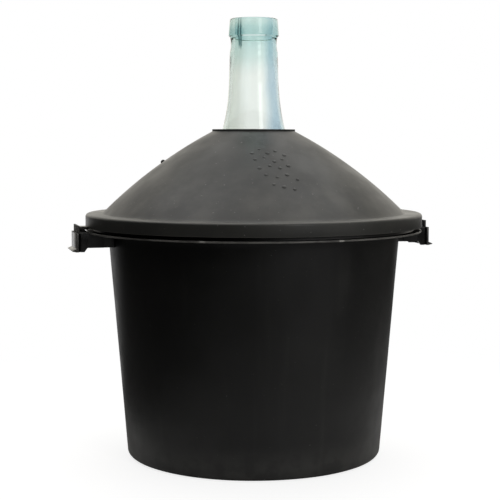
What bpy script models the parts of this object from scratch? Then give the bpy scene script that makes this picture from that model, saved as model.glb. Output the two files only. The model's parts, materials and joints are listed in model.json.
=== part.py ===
"""Cased demijohn: a large glass bottle standing in a tapered moulded tub,
under a lift-off conical cover that its neck comes through.

The origin is the centre of the tub's standing ring, +Z is up, and the two
carrying lugs lie on +X and -X. All lengths are in metres.
"""
from math import asin, cos, hypot, pi, radians, sin

import bmesh
import bpy

# Tub: rim flange, outer wall, floor and the collar that carries the cover
FLANGE_RADIUS = 0.254
FLANGE_TOP = 0.3434
FLANGE_THICKNESS = 0.003
FLANGE_WIDTH = 0.0328
TUB_TAPER = 0.0278
TUB_WALL = 0.003
TUB_CORNER_ROUND = 0.008
TUB_FLOOR = 0.004
FLOOR_RISE = 0.004
STAND_RING_WIDTH = 0.020
COLLAR_INSET = 0.011
COLLAR_WALL = 0.003

# Carrying lugs, moulded on the tub
LUG_WIDTH = 0.060
LUG_OVERHANG = 0.020
LUG_STEP = 0.0005
LUG_DEPTH = 0.022
LUG_ROOT = 0.012
LUG_TOE_DROP = 0.006
LUG_TOE_LENGTH = 0.012
LUG_TOE_SLOPE = 0.0045
LUG_TOP_THICKNESS = 0.003
WEB_THICKNESS = 0.003
WEB_INSET = 0.003
POCKET_BACKING = 0.0015
GRIP_THICKNESS = 0.0035
GRIP_FLARE = 0.006
GRIP_FLARE_HEIGHT = 0.005
GRIP_FLARE_TIP = 0.0025
GRIP_FLARE_EDGE = 0.0012
TONGUE_SHOULDER = 0.006
TONGUE_THICKNESS = 0.003
TONGUE_INSET = 0.0025
TONGUE_HEIGHT = 0.0105

# Cover: skirt, ledge, cone and neck hole
COVER_WALL = 0.003
RIM_OVERHANG = 0.001
RIM_ROUND = 0.0045
RIM_GAP = 0.0048
SKIRT_HEIGHT = 0.0201
LEDGE_WIDTH = 0.026
CONE_HEIGHT = 0.1227
CONE_BULGE = 0.008
LIP_WIDTH = 0.0114
LIP_HEIGHT = 0.0033
NECK_HOLE_CLEARANCE = 0.0032
LOCATING_RING_DEPTH = 0.009
LOCATING_RING_WALL = 0.0025
LOCATING_CLEARANCE = 0.0008
EAR_WIDTH = 0.024
EAR_THICKNESS = 0.0045
EAR_DROP = 0.0015
EAR_CLEARANCE = 0.0015

# Glass bottle: body
GLASS_WALL = 0.005
SHOULDER_GAP = 0.0065
SHOULDER_START = 0.2
SHOULDER_END = 0.5
BELLY_DROP = 0.0434
BELLY_GAP = 0.008
HEEL_ROUND = 0.050
STAND_WIDTH = 0.016
PUNT_HEIGHT = 0.022

# Glass bottle: neck, bore and mouth ring
NECK_RADIUS = 0.0484
NECK_LENGTH = 0.1657
NECK_TOP_RADIUS = 0.0364
NECK_TOP_DEPTH = 0.051
NECK_SWELL = 0.0012
NECK_SWELL_DEPTH = 0.111
NECK_FLARE_HEIGHT = 0.036
NECK_FLARE_SLOPE = 0.26
BORE_INSET = 0.0079
BORE_LENGTH = 0.034
BORE_MOUTH_ROUND = 0.002
MOUTH_RING_HEIGHT = 0.026
MOUTH_RING_STEP = 0.0018
MOUTH_RING_DRAFT = 0.0021
MOUTH_RING_ROUND = 0.003
MOUTH_RING_FOOT = 0.0022
THROAT_HOLLOW = 0.0014

# Gap left between two pieces that rest on each other
SEAT_GAP = 0.0003

# Facets round each turned piece, and along its curves
CASE_STEPS = 64
GLASS_STEPS = 48
ROUND_STEPS = 3
SMALL_ROUND_STEPS = 2
CONE_STEPS = 10
BODY_STEPS = 8
NECK_STEPS = 8
ROOT_STEPS = 5
PUNT_STEPS = 4
THROAT_STEPS = 4

# Share of a curve's run that its handles take, and the same for a round corner
CURVE_PULL = 0.4
ROUND_PULL = 0.55

# Length that a cut runs on past the face it opens, and least angle of a real edge
CUT_MARGIN = 0.005
SHARP_ANGLE = radians(28)

# Levels that follow from the sizes above
FLANGE_UNDERSIDE = FLANGE_TOP - FLANGE_THICKNESS
SKIRT_BOTTOM = FLANGE_TOP + RIM_GAP
LEDGE_TOP = SKIRT_BOTTOM + SKIRT_HEIGHT
LEDGE_UNDERSIDE = LEDGE_TOP - COVER_WALL
COLLAR_TOP = LEDGE_UNDERSIDE - SEAT_GAP
CONE_TOP = LEDGE_TOP + CONE_HEIGHT
LIP_TOP = CONE_TOP + LIP_HEIGHT
FLOOR_TOP = FLOOR_RISE + TUB_FLOOR
LUG_TOP = FLANGE_TOP - LUG_STEP
LUG_BOTTOM = LUG_TOP - LUG_DEPTH
TOE_BOTTOM = LUG_BOTTOM - LUG_TOE_DROP
BELLY_HEIGHT = FLANGE_TOP - BELLY_DROP
BOTTLE_BASE = FLOOR_TOP + SEAT_GAP
MOUTH_TOP = LIP_TOP + NECK_LENGTH

# Radii that follow from the sizes above
TUB_TOP_RADIUS = FLANGE_RADIUS - FLANGE_WIDTH
TUB_DRAFT = TUB_TAPER / FLANGE_UNDERSIDE
COLLAR_RADIUS = FLANGE_RADIUS - COLLAR_INSET
LUG_REACH = FLANGE_RADIUS + LUG_OVERHANG
TONGUE_OUTSIDE = LUG_REACH - TONGUE_INSET
TONGUE_INSIDE = TONGUE_OUTSIDE - TONGUE_THICKNESS
RIM_RADIUS = FLANGE_RADIUS + RIM_OVERHANG
CONE_BASE_RADIUS = RIM_RADIUS - LEDGE_WIDTH
NECK_HOLE_RADIUS = NECK_RADIUS + NECK_HOLE_CLEARANCE
LIP_RADIUS = NECK_HOLE_RADIUS + LIP_WIDTH
BORE_RADIUS = NECK_TOP_RADIUS - BORE_INSET
MOUTH_RING_RADIUS = NECK_TOP_RADIUS + MOUTH_RING_STEP
MOUTH_RING_TOP_RADIUS = MOUTH_RING_RADIUS - MOUTH_RING_DRAFT


def tub_radius(height):
    """Outer radius of the tub's tapered wall at a height."""
    return TUB_TOP_RADIUS - TUB_DRAFT * (FLANGE_UNDERSIDE - height)


def direction(start, end):
    """Unit vector from start to end."""
    length = hypot(end[0] - start[0], end[1] - start[1])
    return ((end[0] - start[0]) / length, (end[1] - start[1]) / length)


def moved(point, way, distance):
    """The point moved along a direction."""
    return (point[0] + way[0] * distance, point[1] + way[1] * distance)


def arc(start, end, bulge, steps):
    """Points on a round arc from start to end that bulges to the left by bulge."""
    chord = hypot(end[0] - start[0], end[1] - start[1])
    radius = (chord * chord / 4 + bulge * bulge) / (2 * bulge)
    along = direction(start, end)
    left = (-along[1], along[0])
    half = asin(chord / 2 / radius)
    centre = moved(moved(start, along, chord / 2), left, bulge - radius)
    points = []
    for step in range(steps + 1):
        angle = half * (2 * step / steps - 1)
        on_chord = moved(centre, along, radius * sin(angle))
        points.append(moved(on_chord, left, radius * cos(angle)))
    return points


def bezier(start, start_handle, end_handle, end, steps):
    """Points on a cubic curve with the given ends and handles."""
    points = []
    for step in range(steps + 1):
        t = step / steps
        weights = ((1 - t) ** 3, 3 * (1 - t) ** 2 * t, 3 * (1 - t) * t ** 2, t ** 3)
        corners = (start, start_handle, end_handle, end)
        x = sum(weight * corner[0] for weight, corner in zip(weights, corners))
        z = sum(weight * corner[1] for weight, corner in zip(weights, corners))
        points.append((x, z))
    return points


def blend_line(start, start_way, end, end_way, steps):
    """Smooth line that leaves start along start_way and reaches end along end_way."""
    reach = CURVE_PULL * hypot(end[0] - start[0], end[1] - start[1])
    return bezier(start, moved(start, start_way, reach), moved(end, end_way, -reach), end, steps)


def corner_round(before, corner, after, radius, steps=ROUND_STEPS):
    """Points that round a corner off, tangent to both of its sides."""
    back = direction(corner, before)
    ahead = direction(corner, after)
    cosine = back[0] * ahead[0] + back[1] * ahead[1]
    setback = radius * ((1 + cosine) / (1 - cosine)) ** 0.5
    handle = setback * (1 - ROUND_PULL)
    return bezier(
        moved(corner, back, setback),
        moved(corner, back, handle),
        moved(corner, ahead, handle),
        moved(corner, ahead, setback),
        steps,
    )


def dome(radius, base, height, steps):
    """Points on a round dome from its foot at radius in to its top on the axis."""
    sphere = (radius * radius + height * height) / (2 * height)
    opening = asin(radius / sphere)
    points = []
    for step in range(steps):
        angle = opening * (1 - step / steps)
        points.append((sphere * sin(angle), base + height - sphere * (1 - cos(angle))))
    return [*points, (0.0, base + height)]


def inset(points, distance):
    """Outline moved to its right by distance, with mitred corners.

    A point on the axis stays on the axis.
    """
    shifted = []
    for index, point in enumerate(points):
        first = direction(points[max(index - 1, 0)], points[max(index, 1)])
        last = min(index + 1, len(points) - 1)
        second = direction(points[last - 1], points[last])
        right_first = (first[1], -first[0])
        right_second = (second[1], -second[0])
        spread = 1 + right_first[0] * right_second[0] + right_first[1] * right_second[1]
        x = point[0] + distance * (right_first[0] + right_second[0]) / spread
        z = point[1] + distance * (right_first[1] + right_second[1]) / spread
        shifted.append((x if point[0] > 0 else 0.0, z))
    return shifted


def add_object(name, mesh, material=None):
    """Object for a mesh, in the scene, with its own material."""
    item = bpy.data.objects.new(name, mesh)
    if material:
        mesh.materials.append(material)
    bpy.context.scene.collection.objects.link(item)
    return item


def shaded(mesh):
    """Smooth shading with the real corners kept sharp."""
    mesh.shade_smooth()
    mesh.set_sharp_from_angle(angle=SHARP_ANGLE)


def turned_mesh(name, outline, steps, closed):
    """Closed mesh of an outline, given as radius and height, turned about Z."""
    shape = bmesh.new()
    points = [shape.verts.new((radius, 0.0, height)) for radius, height in outline]
    edges = [shape.edges.new(pair) for pair in zip(points, points[1:])]
    if closed:
        edges.append(shape.edges.new((points[-1], points[0])))
    bmesh.ops.spin(
        shape,
        geom=points + edges,
        cent=(0.0, 0.0, 0.0),
        axis=(0.0, 0.0, 1.0),
        angle=2 * pi,
        steps=steps,
        use_merge=True,
    )
    bmesh.ops.remove_doubles(shape, verts=shape.verts, dist=0.00002)
    bmesh.ops.recalc_face_normals(shape, faces=shape.faces)
    mesh = bpy.data.meshes.new(name)
    shape.to_mesh(mesh)
    shape.free()
    shaded(mesh)
    return mesh


def extruded_mesh(name, outline, width):
    """Closed mesh of a side outline in XZ, extruded along Y about its middle."""
    shape = bmesh.new()
    points = [shape.verts.new((x, -width / 2, z)) for x, z in outline]
    face = shape.faces.new(points)
    grown = bmesh.ops.extrude_face_region(shape, geom=[face])
    far_points = [item for item in grown["geom"] if isinstance(item, bmesh.types.BMVert)]
    bmesh.ops.translate(shape, verts=far_points, vec=(0.0, width, 0.0))
    bmesh.ops.recalc_face_normals(shape, faces=shape.faces)
    mesh = bpy.data.meshes.new(name)
    shape.to_mesh(mesh)
    shape.free()
    return mesh


def box_outline(low_x, high_x, low_z, high_z):
    """Corners of an upright rectangle."""
    return [(low_x, low_z), (high_x, low_z), (high_x, high_z), (low_x, high_z)]


def guide_group(name):
    """Collection that holds the shapes that a Boolean adds or cuts."""
    group = bpy.data.collections.new(name)
    bpy.context.scene.collection.children.link(group)
    return group


def add_guide(group, name, mesh, turn=0.0):
    """Hidden guide shape for a Boolean, turned about Z."""
    guide = bpy.data.objects.new(name, mesh)
    guide.rotation_euler = (0.0, 0.0, turn)
    guide.hide_render = True
    guide.display_type = "WIRE"
    group.objects.link(guide)


def add_guide_pair(group, name, mesh):
    """The same guide on the +X side and on the -X side."""
    add_guide(group, name + "_right", mesh)
    add_guide(group, name + "_left", mesh, pi)


def combine(item, group, operation):
    """Boolean of an object with every guide of a group."""
    step = item.modifiers.new(group.name, "BOOLEAN")
    step.operation = operation
    step.operand_type = "COLLECTION"
    step.collection = group
    step.solver = "EXACT"


def plain_material(name, colour, roughness, metallic=0.0, transmission=0.0):
    """Principled material of one piece."""
    material = bpy.data.materials.new(name)
    material.use_nodes = True
    shader = material.node_tree.nodes["Principled BSDF"]
    shader.inputs["Base Color"].default_value = (*colour, 1.0)
    shader.inputs["Roughness"].default_value = roughness
    shader.inputs["Metallic"].default_value = metallic
    shader.inputs["Transmission Weight"].default_value = transmission
    return material


def tub_outside():
    """Outline of the tub's solid form, from the top centre to the underside's centre."""
    ring_inside = tub_radius(0.0) - TUB_CORNER_ROUND - STAND_RING_WIDTH
    wall_foot = (tub_radius(0.0), 0.0)
    wall_head = (TUB_TOP_RADIUS, FLANGE_UNDERSIDE)
    return [
        (0.0, COLLAR_TOP),
        (COLLAR_RADIUS, COLLAR_TOP),
        (COLLAR_RADIUS, FLANGE_TOP),
        (FLANGE_RADIUS, FLANGE_TOP),
        (FLANGE_RADIUS, FLANGE_UNDERSIDE),
        wall_head,
        *corner_round(wall_head, wall_foot, (ring_inside, 0.0), TUB_CORNER_ROUND),
        (ring_inside, 0.0),
        (ring_inside - FLOOR_RISE, FLOOR_RISE),
        (0.0, FLOOR_RISE),
    ]


def tub_hollow():
    """Outline of the tub's inner space, from above the collar to the floor's centre."""
    collar_inside = COLLAR_RADIUS - COLLAR_WALL
    mouth = (tub_radius(FLANGE_TOP) - TUB_WALL, FLANGE_TOP)
    corner = (tub_radius(FLOOR_TOP) - TUB_WALL, FLOOR_TOP)
    return [
        (0.0, COLLAR_TOP + CUT_MARGIN),
        (collar_inside, COLLAR_TOP + CUT_MARGIN),
        (collar_inside, FLANGE_TOP),
        mouth,
        *corner_round(mouth, corner, (0.0, FLOOR_TOP), TUB_CORNER_ROUND),
        (0.0, FLOOR_TOP),
    ]


def lug_block_outline():
    """Side of a lug's top plate and webs, from inside the wall to the grip."""
    root = tub_radius(LUG_BOTTOM) - LUG_ROOT
    front = LUG_REACH - GRIP_THICKNESS / 2
    toe = LUG_REACH - LUG_TOE_LENGTH
    return [
        (root, LUG_TOP),
        (root, LUG_BOTTOM),
        (toe - LUG_TOE_SLOPE, LUG_BOTTOM),
        (toe, TOE_BOTTOM),
        (front, TOE_BOTTOM),
        (front, LUG_TOP),
    ]


def grip_outline():
    """Side of a lug's outer plate, with the flared lip along its foot."""
    back = LUG_REACH - GRIP_THICKNESS
    tip = LUG_REACH + GRIP_FLARE
    tip_level = TOE_BOTTOM + GRIP_FLARE_TIP
    return [
        (back, LUG_TOP),
        (back, TOE_BOTTOM),
        (LUG_REACH, TOE_BOTTOM),
        (tip, tip_level - GRIP_FLARE_EDGE),
        (tip, tip_level),
        (LUG_REACH, TOE_BOTTOM + GRIP_FLARE_HEIGHT),
        (LUG_REACH, LUG_TOP),
    ]


def pocket_outline():
    """Side of the finger pocket under a lug, open below."""
    below = TOE_BOTTOM - CUT_MARGIN
    ceiling = LUG_TOP - LUG_TOP_THICKNESS
    grip_back = LUG_REACH - GRIP_THICKNESS
    return [
        (tub_radius(below) + POCKET_BACKING, below),
        (grip_back, below),
        (grip_back, ceiling),
        (tub_radius(ceiling) + POCKET_BACKING, ceiling),
    ]


def tongue_outline():
    """Side of a lug's upright tongue, from inside the top plate up."""
    return box_outline(
        TONGUE_INSIDE, TONGUE_OUTSIDE, LUG_TOP - LUG_TOP_THICKNESS / 2, LUG_TOP + TONGUE_HEIGHT
    )


def build_tub(material):
    """Tub with its floor, flange, collar and two hollow carrying lugs."""
    tub = add_object("tub", turned_mesh("tub", tub_outside(), CASE_STEPS, False), material)
    block_width = LUG_WIDTH - 2 * WEB_INSET
    pocket_width = block_width - 2 * WEB_THICKNESS
    tongue_width = LUG_WIDTH - 2 * TONGUE_SHOULDER
    lugs = guide_group("tub_lugs")
    add_guide_pair(lugs, "lug_block", extruded_mesh("lug_block", lug_block_outline(), block_width))
    add_guide_pair(lugs, "grip", extruded_mesh("grip", grip_outline(), LUG_WIDTH))
    add_guide_pair(lugs, "tongue", extruded_mesh("tongue", tongue_outline(), tongue_width))
    hollows = guide_group("tub_hollows")
    add_guide(hollows, "tub_hollow", turned_mesh("tub_hollow", tub_hollow(), CASE_STEPS, False))
    add_guide_pair(hollows, "pocket", extruded_mesh("pocket", pocket_outline(), pocket_width))
    combine(tub, lugs, "UNION")
    combine(tub, hollows, "DIFFERENCE")
    return tub


def cone_line():
    """Outer line of the cover's cone, from its lip down to its ledge."""
    return arc((LIP_RADIUS, CONE_TOP), (CONE_BASE_RADIUS, LEDGE_TOP), CONE_BULGE, CONE_STEPS)


def cover_outline():
    """Closed outline of the cover's wall, down its outside and up its inside."""
    skirt_inside = RIM_RADIUS - COVER_WALL
    ring_outside = COLLAR_RADIUS - COLLAR_WALL - LOCATING_CLEARANCE
    ring_inside = ring_outside - LOCATING_RING_WALL
    ring_bottom = LEDGE_UNDERSIDE - LOCATING_RING_DEPTH
    ledge_start = (CONE_BASE_RADIUS, LEDGE_TOP)
    rim = (RIM_RADIUS, LEDGE_TOP)
    skirt_foot = (RIM_RADIUS, SKIRT_BOTTOM)
    cone_inside = inset(cone_line(), COVER_WALL)
    lip_underside = LIP_TOP - COVER_WALL
    return [
        (NECK_HOLE_RADIUS, LIP_TOP),
        (LIP_RADIUS, LIP_TOP),
        *cone_line(),
        *corner_round(ledge_start, rim, skirt_foot, RIM_ROUND),
        skirt_foot,
        (skirt_inside, SKIRT_BOTTOM),
        (skirt_inside, LEDGE_UNDERSIDE),
        (ring_outside, LEDGE_UNDERSIDE),
        (ring_outside, ring_bottom),
        (ring_inside, ring_bottom),
        (ring_inside, LEDGE_UNDERSIDE),
        (cone_inside[-1][0], LEDGE_UNDERSIDE),
        *reversed(cone_inside[1:-1]),
        (LIP_RADIUS - COVER_WALL / 2, lip_underside),
        (NECK_HOLE_RADIUS, lip_underside),
    ]


def build_cover(material):
    """Conical cover with its skirt, its locating ring and an ear at each lug."""
    cover = add_object("cover", turned_mesh("cover", cover_outline(), CASE_STEPS, True), material)
    ear_bottom = SKIRT_BOTTOM - EAR_DROP
    ear = box_outline(
        RIM_RADIUS - COVER_WALL / 2,
        TONGUE_INSIDE - EAR_CLEARANCE,
        ear_bottom,
        ear_bottom + EAR_THICKNESS,
    )
    ears = guide_group("cover_ears")
    add_guide_pair(ears, "ear", extruded_mesh("ear", ear, EAR_WIDTH))
    combine(cover, ears, "UNION")
    return cover


def bottle_mouth():
    """Outer line of the mouth ring and throat, from the top face down to the neck."""
    foot = MOUTH_TOP - MOUTH_RING_HEIGHT
    neck_top = (NECK_TOP_RADIUS, MOUTH_TOP - NECK_TOP_DEPTH)
    top = (MOUTH_RING_TOP_RADIUS, MOUTH_TOP)
    edge = (MOUTH_RING_RADIUS, foot)
    under = (MOUTH_RING_RADIUS - MOUTH_RING_FOOT, foot - MOUTH_RING_FOOT)
    return [
        *corner_round((0.0, MOUTH_TOP), top, edge, MOUTH_RING_ROUND),
        edge,
        *arc(under, neck_top, -THROAT_HOLLOW, THROAT_STEPS),
    ]


def bottle_neck():
    """Outer line of the neck, from under the throat down to the cover's hole."""
    top = (NECK_TOP_RADIUS, MOUTH_TOP - NECK_TOP_DEPTH)
    foot = (NECK_RADIUS, CONE_TOP)
    swell = (NECK_TOP_RADIUS + NECK_SWELL, MOUTH_TOP - NECK_SWELL_DEPTH)
    flare = (foot[0] - NECK_FLARE_SLOPE * NECK_FLARE_HEIGHT, foot[1] + NECK_FLARE_HEIGHT)
    return bezier(top, swell, flare, foot, NECK_STEPS)


def bottle_shoulder():
    """Outer line of the shoulder, which keeps its gap under the cover's cone."""
    line = inset(cone_line(), COVER_WALL + SHOULDER_GAP)
    first = round(CONE_STEPS * SHOULDER_START)
    last = round(CONE_STEPS * SHOULDER_END)
    return line[first:last + 1]


def bottle_body():
    """Outer line from the shoulder down to the base and in to the base's centre."""
    shoulder = bottle_shoulder()
    shoulder_way = direction(shoulder[-2], shoulder[-1])
    belly = (tub_radius(BELLY_HEIGHT) - TUB_WALL - BELLY_GAP, BELLY_HEIGHT)
    heel_corner = (tub_radius(BOTTLE_BASE) - TUB_WALL - BELLY_GAP, BOTTLE_BASE)
    wall_way = direction(belly, heel_corner)
    heel = corner_round(belly, heel_corner, (0.0, BOTTLE_BASE), HEEL_ROUND, BODY_STEPS)
    return [
        *shoulder[:-1],
        *blend_line(shoulder[-1], shoulder_way, belly, wall_way, BODY_STEPS),
        *heel,
        *dome(heel[-1][0] - STAND_WIDTH, BOTTLE_BASE, PUNT_HEIGHT, PUNT_STEPS),
    ]


def bottle_outline():
    """Outline of the glass, from the inner floor's centre up, over and down to the base."""
    neck = bottle_neck()
    body = bottle_body()
    body_way = direction(body[0], body[1])
    neck_way = direction(neck[-2], neck[-1])
    root = blend_line(neck[-1], neck_way, body[0], body_way, ROOT_STEPS)
    below_neck = [*root, *body[1:]]
    hollow = inset([*neck[:-1], *below_neck], GLASS_WALL)
    bore_foot = (BORE_RADIUS, MOUTH_TOP - BORE_LENGTH)
    bore_top = (BORE_RADIUS, MOUTH_TOP)
    ring_top = (MOUTH_RING_TOP_RADIUS, MOUTH_TOP)
    up = (0.0, 1.0)
    throat = blend_line(hollow[0], direction(hollow[1], hollow[0]), bore_foot, up, THROAT_STEPS)
    return [
        *reversed(hollow[1:]),
        *throat,
        *corner_round(bore_foot, bore_top, ring_top, BORE_MOUTH_ROUND, SMALL_ROUND_STEPS),
        *bottle_mouth(),
        *neck[1:],
        *below_neck[1:],
    ]


def build_bottle(material):
    """Glass bottle with its open bore, standing on the tub's floor."""
    return add_object("bottle", turned_mesh("bottle", bottle_outline(), GLASS_STEPS, False), material)


def lift_axis(name, height, pieces):
    """Empty on the vertical axis that its pieces lift along."""
    axis = bpy.data.objects.new(name, None)
    axis.location = (0.0, 0.0, height)
    bpy.context.scene.collection.objects.link(axis)
    bpy.context.view_layer.update()
    for piece in pieces:
        piece.parent = axis
        piece.matrix_parent_inverse = axis.matrix_world.inverted()
    return axis


def main():
    """Clear the scene and build the demijohn."""
    for item in list(bpy.data.objects):
        bpy.data.objects.remove(item, do_unlink=True)
    tub_plastic = plain_material("tub_plastic", (0.012, 0.012, 0.012), 0.50)
    cover_plastic = plain_material("cover_plastic", (0.020, 0.020, 0.020), 0.50)
    bottle_glass = plain_material("bottle_glass", (0.72, 0.88, 0.88), 0.03, transmission=0.9)
    build_tub(tub_plastic)
    bottle = build_bottle(bottle_glass)
    cover = build_cover(cover_plastic)
    cover_axis = lift_axis("cover_lift_axis", SKIRT_BOTTOM, [cover])
    lift_axis("bottle_lift_axis", BOTTLE_BASE, [bottle, cover_axis])


main()
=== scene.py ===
"""Looks of a cased demijohn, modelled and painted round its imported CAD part.

Lengths are in metres, in the frame of the CAD part: +Z is up along the bottle's neck and the two
carrying lugs lie on +X and -X.
"""

import json
from math import asin, atan2, cos, hypot, pi, radians, sin

import bmesh
import bpy
from bpy.props import FloatProperty, FloatVectorProperty, IntProperty, PointerProperty
from mathutils import Matrix, Vector

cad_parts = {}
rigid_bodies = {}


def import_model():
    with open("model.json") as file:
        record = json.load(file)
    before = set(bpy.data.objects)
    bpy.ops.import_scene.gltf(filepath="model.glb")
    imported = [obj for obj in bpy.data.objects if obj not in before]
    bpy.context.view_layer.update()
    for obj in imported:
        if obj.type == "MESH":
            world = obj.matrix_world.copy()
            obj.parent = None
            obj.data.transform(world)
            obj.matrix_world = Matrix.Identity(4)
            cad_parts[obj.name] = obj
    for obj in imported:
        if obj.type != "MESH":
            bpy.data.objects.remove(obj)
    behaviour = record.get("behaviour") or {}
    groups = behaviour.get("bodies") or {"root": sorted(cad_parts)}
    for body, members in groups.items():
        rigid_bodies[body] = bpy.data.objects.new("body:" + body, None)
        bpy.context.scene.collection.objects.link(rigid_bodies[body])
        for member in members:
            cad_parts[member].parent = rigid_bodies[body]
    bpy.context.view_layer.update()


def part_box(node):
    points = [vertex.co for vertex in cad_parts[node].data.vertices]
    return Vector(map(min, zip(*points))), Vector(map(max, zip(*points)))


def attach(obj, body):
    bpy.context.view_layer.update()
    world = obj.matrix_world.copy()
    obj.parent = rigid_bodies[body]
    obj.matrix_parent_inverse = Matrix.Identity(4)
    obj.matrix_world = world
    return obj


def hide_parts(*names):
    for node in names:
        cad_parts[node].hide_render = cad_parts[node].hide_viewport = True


bl_info = {
    "name": "Cased demijohn",
    "version": (1, 0, 0),
    "blender": (4, 5, 0),
    "location": "View3D > Sidebar > Demijohn",
    "description": "Models a glass demijohn in its plastic tub and cover, and lights it",
    "category": "Add Mesh",
}

for start_up_item in list(bpy.data.objects):
    bpy.data.objects.remove(start_up_item, do_unlink=True)

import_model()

# Boxes of the CAD nodes, which the main sizes come from
TUB_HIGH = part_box("tub")[1]
COVER_LOW, COVER_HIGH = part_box("cover")
BOTTLE_LOW, BOTTLE_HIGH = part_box("bottle")

# Tub: rim, foot and collar
FLANGE_THICKNESS = 0.003
TUB_CORNER_ROUND = 0.008
TUB_FLOOR = 0.004
FLOOR_RISE = 0.004
STAND_RING_WIDTH = 0.020
COLLAR_INSET = 0.011
COLLAR_WALL = 0.003
COLLAR_TOP = 0.3650

# Carrying lugs on the tub
LUG_STEP = 0.0005
LUG_DEPTH = 0.022
LUG_ROOT = 0.0025
LUG_TOE_DROP = 0.006
LUG_TOE_LENGTH = 0.012
LUG_TOE_SLOPE = 0.0045
LUG_TOP_THICKNESS = 0.003
WEB_THICKNESS = 0.003
WEB_INSET = 0.003
PANEL_WIDTH = 0.034
PANEL_STEP = 0.0018
PANEL_DROP = 0.0005
GROOVE_WIDTH = 0.0030
PLATE_EDGE = 0.0018
POCKET_BACKING = 0.0015
GRIP_THICKNESS = 0.0035
GRIP_FLARE = 0.006
GRIP_FLARE_HEIGHT = 0.005
GRIP_FLARE_TIP = 0.0025
GRIP_FLARE_EDGE = 0.0012
TONGUE_SHOULDER = 0.006
TONGUE_THICKNESS = 0.003
TONGUE_INSET = 0.0025
STOP_INSET = 0.003
STOP_HEIGHT = 0.0026
STOP_WIDTH = 0.022

# Cover: rim, neck hole, locating ring and ears
RIM_ROUND = 0.0045
LIP_WIDTH = 0.0114
LIP_HEIGHT = 0.0033
NECK_HOLE_CLEARANCE = 0.0032
LOCATING_RING_DEPTH = 0.009
LOCATING_RING_WALL = 0.0025
LOCATING_CLEARANCE = 0.0008
EAR_WIDTH = 0.024
EAR_THICKNESS = 0.0045
EAR_CLEARANCE = 0.0015

# Glass bottle: body
SHOULDER_GAP = 0.0065
SHOULDER_START = 0.2
SHOULDER_END = 0.5
BELLY_DROP = 0.0434
BELLY_GAP = 0.008
HEEL_ROUND = 0.050
STAND_WIDTH = 0.016
PUNT_HEIGHT = 0.022

# Glass bottle: neck, bore and mouth ring
GLASS_NECK_RADIUS = 0.0484
NECK_TOP_RADIUS = 0.0364
NECK_TOP_DEPTH = 0.051
NECK_SWELL = 0.0012
NECK_SWELL_DEPTH = 0.111
NECK_FLARE_HEIGHT = 0.036
NECK_FLARE_SLOPE = 0.26
BORE_INSET = 0.0079
BORE_LENGTH = 0.034
BORE_MOUTH_ROUND = 0.002
MOUTH_RING_HEIGHT = 0.026
MOUTH_RING_STEP = 0.0018
MOUTH_RING_DRAFT = 0.0021
MOUTH_RING_ROUND = 0.003
MOUTH_RING_FOOT = 0.0022
THROAT_HOLLOW = 0.0014

# Run of a cut or a plate past the face that it meets
CUT_MARGIN = 0.005

# Points along each curve of an outline
ROUND_STEPS = 6
CONE_STEPS = 40
BODY_STEPS = 14
NECK_STEPS = 28
ROOT_STEPS = 12
PUNT_STEPS = 8
THROAT_STEPS = 8
THROAT_END = 6
MOUTH_STEPS = 6
WALL_STEPS = 28

# Share of a curve's run that its handles take, and the same for a round corner
CURVE_PULL = 0.4
ROUND_PULL = 0.55

# Size of the plane that becomes the first point of a line, and distance at which points merge
POINT_SIZE = 0.001
MERGE_DISTANCE = 0.00001

# Least turn of a real corner, and segments that round it
SHARP_ANGLE = radians(28)
EDGE_SEGMENTS = 3

# Edge round of a slab as a share of its piece's, and its segments
SLAB_EDGE = 0.6
SLAB_SEGMENTS = 2

# Sizes of the slow waves
TUB_WAVES = 0.12
COVER_WAVES = 0.10
BOTTLE_WAVES = 0.05

# The camera that the photograph was taken with, fitted to its outlines
CAMERA_PLACE = (-0.5029, -1.9358, 0.4827)
CAMERA_TURN = (radians(85.075), 0.0, radians(-14.4))
CAMERA_SENSOR = 36.0

# Lamps: name, place, target, width, height and the setting with the power. The narrow strip's
# streak shows down the neck
LAMPS = (
    ("overhead_lamp", (-0.05, 0.30, 2.6), (-0.05, 0.30, 0.0), 4.0, 3.0, "overhead"),
    ("side_lamp", (1.10, -2.00, 0.60), (0.0, 0.0, 0.25), 2.6, 1.6, "side"),
    ("strip_lamp", (0.67, -2.41, 1.9), (0.0, 0.0, 1.9), 0.7, 2.0, "strip"),
)

# Warm white of the backdrop as the plastic mirrors it
MIRRORED_WHITE = (1.0, 0.965, 0.88)

# How much narrower the white backdrop is on the left, low down, and on the right
LEFT_NARROWING = 0.6
RIGHT_NARROWING = -0.15

# How far a way points up, back or right where each tone of the room starts and ends
LOW_SKY = (0.08, 0.25)
BACKDROP = (0.30, 0.80)
RIGHT_SKY = (0.10, 1.0)
BEYOND_GLASS = (-0.2, 0.45)

# Ways up, away from the camera and to its right
UP = Vector((0.0, 0.0, 1.0))
AWAY_FROM_CAMERA = Vector((0.2487, 0.9686, 0.0))
RIGHT_OF_CAMERA = Vector((0.9686, -0.2487, 0.0))

# Way to the middle of the floor that gleams in the plastic
GLEAM_WAY = (0.125, 0.992, 0.0)

# Cells along a side of the floor
FLOOR_CELLS = 8

# Pips on the cone: turn from the camera's side in degrees, share of the cone's line, radius
PIPS = (
    (-1.5, 0.29, 0.0030), (4.0, 0.26, 0.0024), (9.5, 0.30, 0.0033), (15.5, 0.27, 0.0026),
    (21.0, 0.32, 0.0031), (0.5, 0.38, 0.0028), (6.5, 0.36, 0.0022), (12.5, 0.39, 0.0030),
    (18.0, 0.37, 0.0024), (3.0, 0.47, 0.0031), (9.0, 0.45, 0.0025), (14.5, 0.48, 0.0028),
    (20.0, 0.46, 0.0033), (6.0, 0.56, 0.0026), (11.5, 0.58, 0.0022), (17.0, 0.55, 0.0030),
    (21.5, 0.60, 0.0024), (13.5, 0.67, 0.0031), (18.0, 0.70, 0.0026), (9.0, 0.65, 0.0023),
)
PIP_FLATNESS = 0.21

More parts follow.
